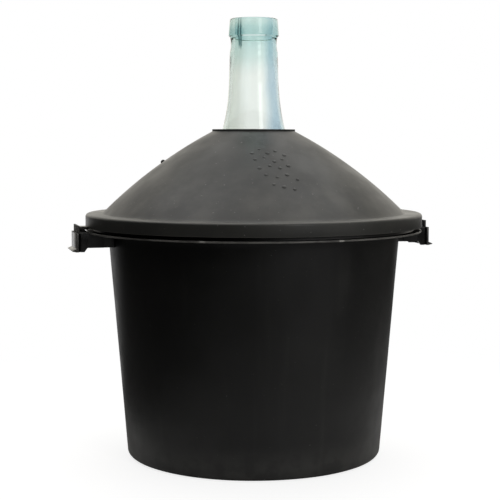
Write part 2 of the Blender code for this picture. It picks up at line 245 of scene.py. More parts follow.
# Moulding nub on the cone's left side
NUB_TURN = -90.0
NUB_SHARE = 0.42
NUB_RADIUS = 0.0036
NUB_FLATNESS = 0.8

# Faces round and along a pip or the nub
BUMP_SEGMENTS = 16
BUMP_RINGS = 8

# Painted glints on the flange's edge: turns from the camera's side, inner and outer reach, and colour
GLINT_TURNS = (-16.0, 28.0)
GLINT_REACH = (0.002, 0.006)
GLINT_COLOUR = (0.42, 0.41, 0.38)

# Painted shadow of the flange: near-black band on the wall just under it
FLANGE_SHADOW_COLOUR = (0.0008, 0.0008, 0.0008)

# How much smoother the handled lugs are, how much rougher their top plates and how much lighter
# with scuffs and painted light from above, and how much rougher the cover's lip
HANDLED_GLOSS = 0.18
PLATE_DULLNESS = 0.50
PLATE_WEAR_AND_LIGHT = 0.10
LIP_DULLNESS = 0.35

# Specular level of the cover, and colour of its specks
COVER_SPECULAR = 0.44
SPECK_COLOUR = (0.22, 0.215, 0.20)

# Rubbed place on the cone: turn from the camera's side, share of the cone's line, reach
SMUDGE_TURN = 3.0
SMUDGE_SHARE = 0.12
SMUDGE_REACH = (0.010, 0.036)

# Bumps of the plastics: scale and detail of the noise, depth and strength
PEEL_NOISE = (38.0, 3.0)
PEEL_DEPTH = 0.00025
PEEL_STRENGTH = 0.6
GRAIN_NOISE = (620.0, 2.0)
GRAIN_STRENGTH = 0.5
TUB_GRAIN = 0.00004
COVER_GRAIN = 0.00005

# Stretch of the streaks down the tub's wall
STREAK_STRETCH = (1.0, 1.0, 0.04)

# Glass: refraction, slow waves in its skin, its colour above the stains and painted light, and their drift
GLASS_IOR = 1.5
WAVE_STRETCH = (1.0, 1.0, 0.35)
WAVE_NOISE = (42.0, 2.0)
WAVE_DEPTH = 0.0004
WAVE_STRENGTH = 0.5
CLEAR_STAIN = (0.985, 0.99, 0.98)
STAIN_STRETCH = (1.0, 1.0, 0.4)
STAIN_NOISE = (30.0, 3.0)
STAIN_DRIFT = 0.030

# Mould seam of the glass: turn from the camera's side, height of its ridge, run below the throat
SEAM_TURN = -38.5
SEAM_HEIGHT = 0.00035
SEAM_RUN = 0.02

# Sockets of a mix node that hold its two colours and its result
MIX_INPUTS = (6, 7)
MIX_OUTPUT = 2

# Noises of the plastics: scale, detail, roughness, low, high, and the shares at low and high
NOISES = {
    "mottle": (9.0, 5.0, 0.55, 0.35, 0.70, 0.0, 1.0),
    "streaks": (26.0, 3.0, 0.55, 0.52, 0.72, 0.0, 0.045),
    "rub": (40.0, 4.0, 0.55, 0.30, 0.60, 0.45, 1.0),
    "specks": (330.0, 1.0, 0.55, 0.76, 0.81, 0.0, 0.3),
    "gloss": (14.0, 4.0, 0.55, 0.3, 0.7, -0.06, 0.08),
    "cover_mottle": (11.0, 6.0, 0.60, 0.35, 0.70, 0.0, 1.0),
    "drift": (23.0, 6.0, 0.62, 0.36, 0.72, 0.10, 0.60),
    "breaks": (48.0, 4.0, 0.55, 0.36, 0.60, 0.45, 1.0),
    "cover_specks": (260.0, 1.0, 0.55, 0.735, 0.80, 0.0, 0.8),
    "cover_gloss": (17.0, 5.0, 0.55, 0.3, 0.7, -0.05, 0.09),
}

# Areas of a material. Each has limits: a measure, the size it starts from, low and high beyond
# that size, and the shares at low and high where they aren't 0 and 1
TUB_AREAS = {
    # Painted shadow of the flange on the wall under it
    "flange_shadow": [("height", "top", -0.045, -0.012), ("far", "wall", 0.004, 0.001)],
    # Scuffs at the foot, with a painted reflection of the floor that lightens the tub's bottom
    "foot": [("height", None, 0.012, 0.056, 0.17, 0.0)],
    # Scuffs and a painted highlight along the flange's outer edge
    "edge": [
        ("far", "radius", -0.0016, -0.0008),
        ("far", "radius", 0.0004, 0.0012, 1.0, 0.0),
        ("height", "top", -0.0037, -0.0030),
    ],
    "lug": [("far", "radius", 0.002, 0.004)],
    # Scuffs and painted light on the lugs' top plates and tongues
    "plate": [("height", "top", -0.0016, -0.0008), ("far", "radius", 0.002, 0.004)],
    # Painted reflections on the lugs' outer plates and on their tongues
    "outer_face_reflection": [("far", "reach", -0.0015, -0.0005, 0.0, 0.50)],
    "tongue_face_reflection": [("far", "tongue", -0.0009, -0.0002, 0.0, 0.50), ("height", "top", 0.0, 0.001)],
}
COVER_AREAS = {
    # Painted shade on faces that don't look up
    "underside": [("up", None, 0.0, 0.5, 0.22, 0.0)],
    # Dust and painted light on faces that look up, less towards the top
    "dust": [("up", None, 0.35, 0.98, 0.0, 1.35), ("height", None, 0.41, 0.48, 1.0, 0.22)],
    # Painted shade on the upper cone
    "upper": [("height", None, 0.39, 0.435, 0.0, 0.44)],
    # Painted shade on the lip round the neck hole
    "lip": [("height", "lip", 0.0, 0.0006)],
    # Painted highlights along the skirt's foot and along the rim's rounded top edge
    "skirt_foot": [("far", "radius", -0.0016, -0.0006), ("height", "skirt", 0.0016, 0.0006, 0.0, 0.30)],
    "skirt_rim": [("far", "radius", -0.0045, -0.0025), ("height", "ledge", -0.0024, -0.0010, 0.0, 0.55)],
}
GLASS_AREAS = {
    "mouth": [("level", "top", -0.090, -0.030), ("height", "top", -0.014, 0.0, 1.0, 0.65)],
    # Painted grey reflection on the left and painted blue reflection on the right
    "left": [("side", None, -0.006, -0.034)],
    "right": [("height", "top", -0.030, -0.018, 1.0, 0.60), ("side", None, 0.010, 0.033)],
    "ring": [("level", "top", -0.004, -0.020), ("height", "ring_foot", -0.004, -0.001)],
    "ring_left": [("side", None, -0.010, -0.027, 0.22, 1.0)],
    "ring_right": [("side", None, 0.012, 0.030, 0.22, 0.55)],
    # Painted shade along the mould seams
    "seam": [
        ("off", None, 0.0009, 0.0020, 1.0, 0.0),
        ("front", None, 0.0, 0.01),
        ("level", "top", -0.052, -0.040),
        ("height", "top", 0.0, -0.016, 0.55, 1.0),
    ],
}
FLOOR_AREAS = {
    "near": [("far", None, 0.30, 0.62)],
    "left": [("side", None, -0.26, -0.42)],
    "far": [("far", None, 0.8, 1.5)],
    "gleam": [("behind", None, 0.73, 1.0)],
    "white": [("far", None, 0.38, 1.0)],
}

# Kinds of settings, each with its property and its limits
KINDS = {
    "length": (FloatProperty, {"min": 0.0, "precision": 4, "unit": "LENGTH"}),
    "steps": (IntProperty, {"min": 24, "max": 512}),
    "colour": (FloatVectorProperty, {"size": 3, "min": 0.0, "max": 1.0, "subtype": "COLOR"}),
    "share": (FloatProperty, {"min": 0.0, "max": 1.0, "subtype": "FACTOR"}),
    "depth": (FloatProperty, {"min": 0.0}),
    "lens": (FloatProperty, {"unit": "CAMERA"}),
    "power": (FloatProperty, {"min": 0.0, "unit": "POWER"}),
}


def properties(**kinds):
    """Annotations of a property group, from a description and a default for each setting of a kind."""
    made = {}
    for kind, rows in kinds.items():
        make, limits = KINDS[kind]
        for setting, (description, default) in rows.items():
            name = setting.replace("_", " ").capitalize()
            made[setting] = make(name=name, description=description, default=default, **limits)
    return made


class TubSettings(bpy.types.PropertyGroup):
    """Sizes and colours of the tub and its lugs"""
    __annotations__ = properties(
        length={
            "radius": ("Outer radius of the flange", TUB_HIGH.y),
            "top": ("Height of the flange's top face", 0.3434),
            "flange_width": ("Reach of the flange beyond the wall", 0.0328),
            "taper": ("How much wider the wall is at its top", 0.0278),
            "wall": ("Thickness of the wall", 0.003),
            "edge": ("Rounding of the moulded edges", 0.0007),
            "lug_width": ("Width of a lug's outer plate", 0.060),
            "lug_overhang": ("Reach of a lug beyond the flange", 0.020),
            "tongue_height": ("Height of a lug's tongue", 0.0105),
            "waviness": ("Depth of the wall's slow waves", 0.0005),
        },
        steps={"steps": ("Faces round the tub", 192)},
        colour={
            # The tub's tones are far darker than the cover's, though both are the same black plastic:
            # painted shade on its upright wall
            "dark": ("Darker tone of the plastic", (0.0022, 0.0022, 0.0021)),
            "light": ("Lighter tone of the plastic", (0.0056, 0.0055, 0.0051)),
            # The scuffed tone also paints highlights and reflections on the flange's edge, the lugs and
            # the foot
            "worn": ("Tone of scuffed edges", (0.180, 0.175, 0.162)),
        },
        share={"roughness": ("Roughness of the plastic", 0.42)},
    )


class CoverSettings(bpy.types.PropertyGroup):
    """Sizes and colours of the cover"""
    __annotations__ = properties(
        length={
            "radius": ("Outer radius of the skirt", COVER_HIGH.y),
            "skirt_bottom": ("Height of the skirt's foot", 0.3482),
            "skirt_height": ("Height of the skirt", 0.0201),
            "ledge_width": ("Width of the flat ledge", 0.026),
            "top": ("Height of the lip round the neck", COVER_HIGH.z),
            "bulge": ("How far the cone's line bows out", 0.008),
            "wall": ("Thickness of the wall", 0.003),
            "edge": ("Rounding of the moulded edges", 0.0007),
            "waviness": ("Depth of the cone's slow waves", 0.0005),
        },
        steps={"steps": ("Faces round the cover", 192)},
        colour={
            # Lighter than the tub's tones, though both are the same black plastic: dust and painted light
            # from above
            "dark": ("Darker tone of the plastic", (0.041, 0.041, 0.039)),
            "light": ("Lighter tone of the plastic", (0.058, 0.057, 0.052)),
            # The dust tone also paints light on faces that look up, and highlights along the rim and the
            # skirt's foot
            "dust": ("Tone of the dust on faces that look up", (0.120, 0.117, 0.103)),
            # The smudge tone also paints shade on faces that don't look up, on the upper cone and on the
            # lip
            "smudge": ("Tone of the rubbed, darker places", (0.015, 0.017, 0.015)),
        },
        share={"roughness": ("Roughness of the plastic", 0.38)},
    )


class GlassSettings(bpy.types.PropertyGroup):
    """Sizes and colours of the glass bottle"""
    __annotations__ = properties(
        length={
            "top": ("Height of the mouth's top face", BOTTLE_HIGH.z),
            "neck_radius": ("Radius of the neck at the cover", GLASS_NECK_RADIUS),
            "wall": ("Thickness of the glass", 0.005),
            "edge": ("Rounding of the mouth ring's foot", 0.0006),
            "waviness": ("Depth of the glass's slow waves", 0.0004),
        },
        steps={"steps": ("Faces round the bottle", 192)},
        depth={"depth": ("How strongly the glass takes light up", 34.0)},
        colour={
            "tint": ("Colour that the glass leaves in light", (0.65, 0.82, 0.72)),
            "mouth_stain": ("Deeper colour of the mouth", (0.80, 0.90, 0.90)),
            # Painted reflections: grey on the left side and blue on the right side
            "left_stain": ("Greyer colour of the left side", (0.87, 0.875, 0.855)),
            "right_stain": ("Bluer colour of the right side", (0.70, 0.79, 0.87)),
            "ring_stain": ("Deeper colour of the ring's foot", (0.62, 0.75, 0.79)),
            # Painted shade along the seams
            "seam_stain": ("Dark colour along the seams", (0.03, 0.09, 0.10)),
        },
        share={"roughness": ("Roughness of the glass", 0.045)},
    )


class StageSettings(bpy.types.PropertyGroup):
    """Floor, lamps and camera"""
    __annotations__ = properties(
        lens={"lens": ("Focal length of the camera", 94.54)},
        length={"floor_size": ("Side of the floor", 60.0)},
        share={
            "floor_tone": ("Colour of the floor near the object", 0.40),
            "floor_glow": ("Light that the floor near the object adds", 0.80),
            "foot_return": ("Light that the floor at the foot sends back", 0.80),
            "floor_return": ("Light that the near floor sends back", 0.30),
            "left_return": ("Light that the floor on the left sends back", 0.09),
            "far_return": ("Light that the far floor sends back", 0.04),
            "gleam": ("Brightness of the floor behind, in the plastic", 0.90),
            "room": ("Brightness of the room on the camera's side", 0.012),
            "right_wall": ("Brightness of the room on the right", 0.26),
            "through_glass": ("Brightness of the room seen in the glass", 0.38),
        },
        power={
            "overhead": ("Power of the soft overhead lamp", 53.0),
            "side": ("Power of the soft lamp on the right", 7.8),
            "strip": ("Power of the narrow upright lamp", 9.0),
        },
    )


def span(start, end):
    """Distance between two points."""
    return hypot(end[0] - start[0], end[1] - start[1])


def direction(start, end):
    """Unit vector from start to end."""
    length = span(start, end)
    return ((end[0] - start[0]) / length, (end[1] - start[1]) / length)


def moved(point, way, distance):
    """The point moved along a direction."""
    return (point[0] + way[0] * distance, point[1] + way[1] * distance)


def between(start, end, steps):
    """Points on a straight line, without its two ends."""
    shares = [step / steps for step in range(1, steps)]
    return [(start[0] + (end[0] - start[0]) * t, start[1] + (end[1] - start[1]) * t) for t in shares]


def arc(start, end, bulge, steps):
    """Points on a round arc from start to end that bulges to the left by bulge."""
    chord = span(start, end)
    radius = (chord * chord / 4 + bulge * bulge) / (2 * bulge)
    along = direction(start, end)
    left = (-along[1], along[0])
    half = asin(chord / 2 / radius)
    centre = moved(moved(start, along, chord / 2), left, bulge - radius)
    points = []
    for step in range(steps + 1):
        angle = half * (2 * step / steps - 1)
        on_chord = moved(centre, along, radius * sin(angle))
        points.append(moved(on_chord, left, radius * cos(angle)))
    return points


def bezier(start, start_handle, end_handle, end, steps):
    """Points on a cubic curve with the given ends and handles."""
    points = []
    for step in range(steps + 1):
        t = step / steps
        weights = ((1 - t) ** 3, 3 * (1 - t) ** 2 * t, 3 * (1 - t) * t ** 2, t ** 3)
        corners = (start, start_handle, end_handle, end)
        x = sum(weight * corner[0] for weight, corner in zip(weights, corners))
        z = sum(weight * corner[1] for weight, corner in zip(weights, corners))
        points.append((x, z))
    return points


def blend_line(start, start_way, end, end_way, steps):
    """Smooth line that leaves start along start_way and reaches end along end_way."""
    reach = CURVE_PULL * span(start, end)
    return bezier(start, moved(start, start_way, reach), moved(end, end_way, -reach), end, steps)


def corner_round(before, corner, after, radius, steps=ROUND_STEPS):
    """Points that round a corner off, tangent to both of its sides."""
    back = direction(corner, before)
    ahead = direction(corner, after)
    cosine = back[0] * ahead[0] + back[1] * ahead[1]
    setback = radius * ((1 + cosine) / (1 - cosine)) ** 0.5
    handle = setback * (1 - ROUND_PULL)
    return bezier(
        moved(corner, back, setback),
        moved(corner, back, handle),
        moved(corner, ahead, handle),
        moved(corner, ahead, setback),
        steps,
    )


def dome(radius, base, height, steps):
    """Points on a round dome from its foot at radius in to its top on the axis."""
    sphere = (radius * radius + height * height) / (2 * height)
    opening = asin(radius / sphere)
    points = []
    for step in range(steps):
        angle = opening * (1 - step / steps)
        points.append((sphere * sin(angle), base + height - sphere * (1 - cos(angle))))
    return [*points, (0.0, base + height)]


def inset(points, distance):
    """Outline moved to its right by distance, with mitred corners, its ends on the axis kept there."""
    shifted = []
    for index, point in enumerate(points):
        first = direction(points[max(index - 1, 0)], points[max(index, 1)])
        last = min(index + 1, len(points) - 1)
        second = direction(points[last - 1], points[last])
        right_first = (first[1], -first[0])
        right_second = (second[1], -second[0])
        spread = 1 + right_first[0] * right_second[0] + right_first[1] * right_second[1]
        x = point[0] + distance * (right_first[0] + right_second[0]) / spread
        z = point[1] + distance * (right_first[1] + right_second[1]) / spread
        shifted.append((x if point[0] > 0 else 0.0, z))
    return shifted


def clear_selection():
    """Object mode, with nothing selected."""
    if bpy.context.mode != "OBJECT":
        bpy.ops.object.mode_set(mode="OBJECT")
    bpy.ops.object.select_all(action="DESELECT")


def pick(item):
    """Makes an object the only selected one, and the active one."""
    clear_selection()
    item.select_set(True)
    bpy.context.view_layer.objects.active = item


def draw_line(name, outline):
    """A line drawn from one point by extruding it along an outline, left in edit mode."""
    clear_selection()
    start = (outline[0][0], 0.0, outline[0][1])
    bpy.ops.mesh.primitive_plane_add(size=POINT_SIZE, location=start)
    item = bpy.context.object
    item.name = name
    item.data.name = name
    bpy.ops.object.transform_apply(location=True, rotation=False, scale=False)
    bpy.ops.object.mode_set(mode="EDIT")
    bpy.ops.mesh.select_all(action="SELECT")
    bpy.ops.mesh.merge(type="CENTER")
    for before, after in zip(outline, outline[1:]):
        step = (after[0] - before[0], 0.0, after[1] - before[1])
        bpy.ops.mesh.extrude_region_move(TRANSFORM_OT_translate={"value": step})
    bpy.ops.mesh.select_all(action="SELECT")
    bpy.ops.mesh.remove_doubles(threshold=MERGE_DISTANCE)
    return item


def turns_sharply(point):
    """Whether the two edges that meet at a point of a line turn by more than a soft bend."""
    if len(point.link_edges) != 2:
        return False
    ways = [(edge.other_vert(point).co - point.co).normalized() for edge in point.link_edges]
    return pi - ways[0].angle(ways[1]) > SHARP_ANGLE


def select_points(item, test):
    """Selects the points of the mesh in edit mode that pass a test."""
    bpy.ops.mesh.select_all(action="DESELECT")
    shape = bmesh.from_edit_mesh(item.data)
    for point in shape.verts:
        point.select = test(point)
    shape.select_flush_mode()
    bmesh.update_edit_mesh(item.data)


def round_line_corners(item, radius):
    """Rounds the sharp corners of a drawn line."""
    select_points(item, turns_sharply)
    bpy.ops.mesh.bevel(offset=radius, segments=EDGE_SEGMENTS, affect="VERTICES")


def turn_line(item, steps):
    """Turns a drawn line about Z into a closed skin that faces out."""
    bpy.ops.mesh.select_all(action="SELECT")
    bpy.ops.mesh.spin(steps=steps, angle=2 * pi, center=(0.0, 0.0, 0.0), axis=(0.0, 0.0, 1.0))
    bpy.ops.mesh.select_all(action="SELECT")
    bpy.ops.mesh.remove_doubles(threshold=MERGE_DISTANCE)
    bpy.ops.mesh.normals_make_consistent(inside=False)
    bpy.ops.object.mode_set(mode="OBJECT")
    return item


def turned_piece(name, outline, edge, steps):
    """Piece turned about Z from an outline of radius and height, its corners rounded."""
    item = draw_line(name, outline)
    round_line_corners(item, edge)
    return turn_line(item, steps)


def slab(name, outline, width, edge):
    """Slab with a side outline in X and Z, extruded along Y about its middle, its edges rounded."""
    item = draw_line(name, [*outline, outline[0]])
    bpy.ops.mesh.edge_face_add()
    bpy.ops.transform.translate(value=(0.0, -width / 2, 0.0))
    bpy.ops.mesh.extrude_region_move(TRANSFORM_OT_translate={"value": (0.0, width, 0.0)})
    bpy.ops.mesh.select_all(action="SELECT")
    bpy.ops.mesh.normals_make_consistent(inside=False)
    bpy.ops.mesh.bevel(offset=edge, segments=SLAB_SEGMENTS, affect="EDGES")
    bpy.ops.object.mode_set(mode="OBJECT")
    return item


def opposite_copy(item):
    """Copy of an object, with its own mesh, on the other side of the Z axis."""
    pick(item)
    bpy.ops.object.duplicate(linked=False)
    copy = bpy.context.object
    copy.rotation_euler = (0.0, 0.0, pi)
    bpy.ops.object.transform_apply(location=False, rotation=True, scale=False)
    return copy


def combine(item, tool, operation):
    """Adds or cuts a tool shape with a Boolean, applies it and deletes the tool."""
    pick(item)
    step = item.modifiers.new(operation.title(), "BOOLEAN")
    step.operation = operation
    step.object = tool
    step.solver = "EXACT"
    bpy.ops.object.modifier_apply(modifier=step.name)
    pick(tool)
    bpy.ops.object.delete()


def combine_pair(item, tool, operation):
    """The same Boolean with a tool shape and with its copy on the other side."""
    copy = opposite_copy(tool)
    combine(item, tool, operation)
    combine(item, copy, operation)


def press_waves(item, depth, size):
    """Presses slow waves into a skin, inwards only, so that it keeps within its CAD box."""
    clouds = bpy.data.textures.new(item.name + "_waves", "CLOUDS")
    clouds.noise_scale = size
    clouds.noise_depth = 1
    pick(item)
    waves = item.modifiers.new("Waves", "DISPLACE")
    waves.texture = clouds
    waves.texture_coords = "LOCAL"
    waves.strength = depth
    waves.mid_level = 1.0
    bpy.ops.object.modifier_apply(modifier=waves.name)


def smooth(item):
    """Smooth shading that keeps the real corners sharp."""
    pick(item)
    bpy.ops.object.shade_smooth_by_angle(angle=SHARP_ANGLE)


def dress(item, material, node):
    """Gives a finished piece its material and puts it in its CAD node's place."""
    smooth(item)
    item.data.materials.clear()
    item.data.materials.append(material)
    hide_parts(node)
    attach(item, node)


def tub_radius(size, height):
    """Outer radius of the tub's tapered wall at a height."""
    underside = size.top - FLANGE_THICKNESS
    return size.radius - size.flange_width - size.taper * (1 - height / underside)


def tub_outline(size):
    """The tub's wall from its floor's centre up, over the rim and down to the underside's centre."""
    floor_top = FLOOR_RISE + TUB_FLOOR
    collar = size.radius - COLLAR_INSET
    inner_foot = (tub_radius(size, floor_top) - size.wall, floor_top)
    inner_head = (tub_radius(size, size.top) - size.wall, size.top)
    wall_head = (tub_radius(size, size.top - FLANGE_THICKNESS), size.top - FLANGE_THICKNESS)
    wall_foot = (tub_radius(size, 0.0), 0.0)
    ring_inside = wall_foot[0] - TUB_CORNER_ROUND - STAND_RING_WIDTH
    inner_round = corner_round((0.0, floor_top), inner_foot, inner_head, TUB_CORNER_ROUND)
    outer_round = corner_round(wall_head, wall_foot, (ring_inside, 0.0), TUB_CORNER_ROUND)
    return [
        (0.0, floor_top),
        *inner_round,
        *between(inner_round[-1], inner_head, WALL_STEPS),
        inner_head,
        (collar - COLLAR_WALL, size.top),
        (collar - COLLAR_WALL, COLLAR_TOP),
        (collar, COLLAR_TOP),
        (collar, size.top),
        (size.radius, size.top),
        (size.radius, size.top - FLANGE_THICKNESS),
        wall_head,
        *between(wall_head, outer_round[0], WALL_STEPS),
        *outer_round,
        (ring_inside, 0.0),
        (ring_inside - FLOOR_RISE, FLOOR_RISE),
        (0.0, FLOOR_RISE),
    ]


class Lug:
    """Levels and reaches that the parts of a lug share."""

    def __init__(self, size):
        self.top = size.top - LUG_STEP
        self.bottom = self.top - LUG_DEPTH
        self.foot = self.bottom - LUG_TOE_DROP
        self.reach = size.radius + size.lug_overhang
        self.back = self.reach - GRIP_THICKNESS
        self.middle = self.reach - GRIP_THICKNESS / 2
        self.tongue = self.reach - TONGUE_INSET


def oblong(inside, outside, low, high):
    """Corners of an upright oblong."""
    return [(inside, low), (outside, low), (outside, high), (inside, high)]


def toed_outline(lug, head, foot, outside):
    """Side of a web or panel of a lug, from its inner end's head and foot over the toe to its outside."""
    toe = lug.reach - LUG_TOE_LENGTH
    return [
        head,
        foot,
        (toe - LUG_TOE_SLOPE, lug.bottom),
        (toe, lug.foot),
        (outside, lug.foot),
        (outside, head[1]),
    ]


def block_outline(size, lug):
    """Side of a lug's top plate and webs, from inside the wall to the outer plate."""
    head, foot = ((tub_radius(size, level) - LUG_ROOT, level) for level in (lug.top, lug.bottom))
    return toed_outline(lug, head, foot, lug.middle)


def panel_outline(lug):
    """Side of the raised panel at each end of a lug, a groove's width short of the outer plate."""
    outside = lug.back - GROOVE_WIDTH
    inside = outside - PANEL_WIDTH
    return toed_outline(lug, (inside, lug.top - PANEL_DROP), (inside, lug.bottom), outside)


def grip_outline(lug):
    """Side of a lug's outer plate, with the flared lip along its foot."""
    tip = lug.reach + GRIP_FLARE
    tip_level = lug.foot + GRIP_FLARE_TIP
    return [
        (lug.back, lug.top),
        (lug.back, lug.foot),
        (lug.reach, lug.foot),
        (tip, tip_level - GRIP_FLARE_EDGE),
        (tip, tip_level),
        (lug.reach, lug.foot + GRIP_FLARE_HEIGHT),
        (lug.reach, lug.top),
    ]


def pocket_outline(size, lug):
    """Side of the finger pocket under a lug, open below."""
    below = lug.foot - CUT_MARGIN
    ceiling = lug.top - LUG_TOP_THICKNESS
    low, high = ((tub_radius(size, level) + POCKET_BACKING, level) for level in (below, ceiling))
    return [low, (lug.back, below), (lug.back, ceiling), high]


def lug_parts(size):
    """Parts of a lug in the order they are made: side outline, width and Boolean operation."""
    lug = Lug(size)
    width = size.lug_width - 2 * WEB_INSET
    root = lug.top - LUG_TOP_THICKNESS / 2
    plate = oblong(size.radius - CUT_MARGIN, lug.middle, lug.top - PLATE_EDGE, lug.top)
    tongue = oblong(lug.tongue - TONGUE_THICKNESS, lug.tongue, root, lug.top + size.tongue_height)
    # The low stop inside the tongue, which the cover's ear lies over
    stop_outside = lug.tongue - TONGUE_THICKNESS / 2
    stop = oblong(size.radius + STOP_INSET, stop_outside, root, lug.top + STOP_HEIGHT)
    return (
        (block_outline(size, lug), width - 2 * PANEL_STEP, "UNION"),
        (panel_outline(lug), width, "UNION"),
        (plate, width, "UNION"),
        (grip_outline(lug), size.lug_width, "UNION"),
        (tongue, size.lug_width - 2 * TONGUE_SHOULDER, "UNION"),
        (stop, STOP_WIDTH, "UNION"),
        (pocket_outline(size, lug), width - 2 * WEB_THICKNESS, "DIFFERENCE"),
    )


def model_tub(size):
    """The tub's turned wall with a hollow carrying lug on each side."""
    tub = turned_piece("tub_moulding", tub_outline(size), size.edge, size.steps)
    press_waves(tub, size.waviness, TUB_WAVES)
    for outline, width, operation in lug_parts(size):
        combine_pair(tub, slab("lug_part", outline, width, size.edge * SLAB_EDGE), operation)
    return tub


def cone_line(size):
    """Outer line of the cover's cone, from its lip down to its ledge."""
    lip = GLASS_NECK_RADIUS + NECK_HOLE_CLEARANCE + LIP_WIDTH
    foot = size.radius - size.ledge_width
    ledge = size.skirt_bottom + size.skirt_height
    return arc((lip, size.top - LIP_HEIGHT), (foot, ledge), size.bulge, CONE_STEPS)


def cover_outline(size):
    """Closed outline of the cover's wall, down its outside and up its inside."""
    hole = GLASS_NECK_RADIUS + NECK_HOLE_CLEARANCE
    ledge = size.skirt_bottom + size.skirt_height
    underside = ledge - size.wall
    skirt_inside = size.radius - size.wall
    ring_outside = TUB_HIGH.y - COLLAR_INSET - COLLAR_WALL - LOCATING_CLEARANCE
    ring_inside = ring_outside - LOCATING_RING_WALL
    ring_bottom = underside - LOCATING_RING_DEPTH
    cone = cone_line(size)
    cone_inside = inset(cone, size.wall)
    rim = (size.radius, ledge)
    skirt_foot = (size.radius, size.skirt_bottom)
    return [
        (hole, size.top),
        (hole + LIP_WIDTH, size.top),
        *cone,
        *corner_round(cone[-1], rim, skirt_foot, RIM_ROUND),
        skirt_foot,
        (skirt_inside, size.skirt_bottom),
        (skirt_inside, underside),
        (ring_outside, underside),
        (ring_outside, ring_bottom),
        (ring_inside, ring_bottom),
        (ring_inside, underside),
        (cone_inside[-1][0], underside),
        *reversed(cone_inside[1:-1]),
        (hole + LIP_WIDTH - size.wall / 2, size.top - size.wall),
        (hole, size.top - size.wall),
        (hole, size.top),
    ]


def around(turn):
    """Level unit vector at a turn from the camera's side, positive to the camera's right."""
    angle = radians(turn)
    return sin(angle) * RIGHT_OF_CAMERA - cos(angle) * AWAY_FROM_CAMERA


def point_on_cone(size, turn, index):
    """Point of the cone's skin at a turn from the camera's side, on a point of the cone's line."""
    radius, height = cone_line(size)[index]
    return radius * around(turn) + Vector((0.0, 0.0, height))


def place_on_cone(size, turn, share):
    """Matrix that puts an upright shape on the cone's skin, its Z along the skin's normal."""
    line = cone_line(size)
    index = round(share * CONE_STEPS)
    along = direction(line[index - 1], line[index])
    normal = -along[1] * around(turn) + along[0] * UP
    place = Matrix.Translation(point_on_cone(size, turn, index))
    return place @ normal.to_track_quat("Z", "Y").to_matrix().to_4x4()


def bump_on_cone(size, name, turn, share, radius, flatness):
    """One low round bump on the cone's skin."""
    clear_selection()
    bpy.ops.mesh.primitive_uv_sphere_add(segments=BUMP_SEGMENTS, ring_count=BUMP_RINGS, radius=radius)
    bump = bpy.context.object
    bump.name = name
    bpy.ops.object.mode_set(mode="EDIT")
    bpy.ops.mesh.select_all(action="SELECT")
    bpy.ops.transform.resize(value=(1.0, 1.0, flatness))
    bpy.ops.object.mode_set(mode="OBJECT")
    bump.matrix_world = place_on_cone(size, turn, share)
    bpy.ops.object.transform_apply(location=True, rotation=True, scale=True)
    return bump


def add_bumps(cover, size):
    """Joins the scattered pips and the moulding nub, and adds them to the cover."""
    bumps = [bump_on_cone(size, "nub", NUB_TURN, NUB_SHARE, NUB_RADIUS, NUB_FLATNESS)]
    for turn, share, radius in PIPS:
        bumps.append(bump_on_cone(size, "pip", turn, share, radius, PIP_FLATNESS))
    pick(bumps[0])
    for bump in bumps:
        bump.select_set(True)
    bpy.ops.object.join()
    combine(cover, bpy.context.object, "UNION")


def ear_outline(size):
    """Side of the small ear that stands out of the skirt inside a lug's tongue."""
    tongue_inside = TUB_HIGH.x - GRIP_FLARE - TONGUE_INSET - TONGUE_THICKNESS
    low = COVER_LOW.z
    return oblong(size.radius - size.wall / 2, tongue_inside - EAR_CLEARANCE, low, low + EAR_THICKNESS)


def model_cover(size):
    """The cover's turned wall with its ears, its pips and its nub."""
    cover = turned_piece("cover_moulding", cover_outline(size), size.edge, size.steps)
    press_waves(cover, size.waviness, COVER_WAVES)
    combine_pair(cover, slab("ear", ear_outline(size), EAR_WIDTH, size.edge * SLAB_EDGE), "UNION")
    add_bumps(cover, size)
    return cover


def bottle_mouth(size):
    """Outer line of the mouth ring and throat, from the top face down to the neck."""
    ring = NECK_TOP_RADIUS + MOUTH_RING_STEP
    foot = size.top - MOUTH_RING_HEIGHT
    neck_top = (NECK_TOP_RADIUS, size.top - NECK_TOP_DEPTH)
    top = (ring - MOUTH_RING_DRAFT, size.top)
    edge = (ring, foot)
    under = (ring - MOUTH_RING_FOOT, foot - MOUTH_RING_FOOT)
    return [
        *corner_round((0.0, size.top), top, edge, MOUTH_RING_ROUND),
        *between(top, edge, MOUTH_STEPS),
        edge,
        *arc(under, neck_top, -THROAT_HOLLOW, THROAT_STEPS),
    ]


def bottle_neck(size, foot_level):
    """Outer line of the neck, from under the throat down to the cover's hole."""
    top = (NECK_TOP_RADIUS, size.top - NECK_TOP_DEPTH)
    foot = (size.neck_radius, foot_level)
    swell = (NECK_TOP_RADIUS + NECK_SWELL, size.top - NECK_SWELL_DEPTH)
    flare = (foot[0] - NECK_FLARE_SLOPE * NECK_FLARE_HEIGHT, foot[1] + NECK_FLARE_HEIGHT)
    return bezier(top, swell, flare, foot, NECK_STEPS)


def bottle_shoulder(cover):
    """Outer line of the shoulder, which keeps its gap under the cover's cone."""
    line = inset(cone_line(cover), cover.wall + SHOULDER_GAP)
    first = round(CONE_STEPS * SHOULDER_START)
    last = round(CONE_STEPS * SHOULDER_END)
    return line[first:last + 1]


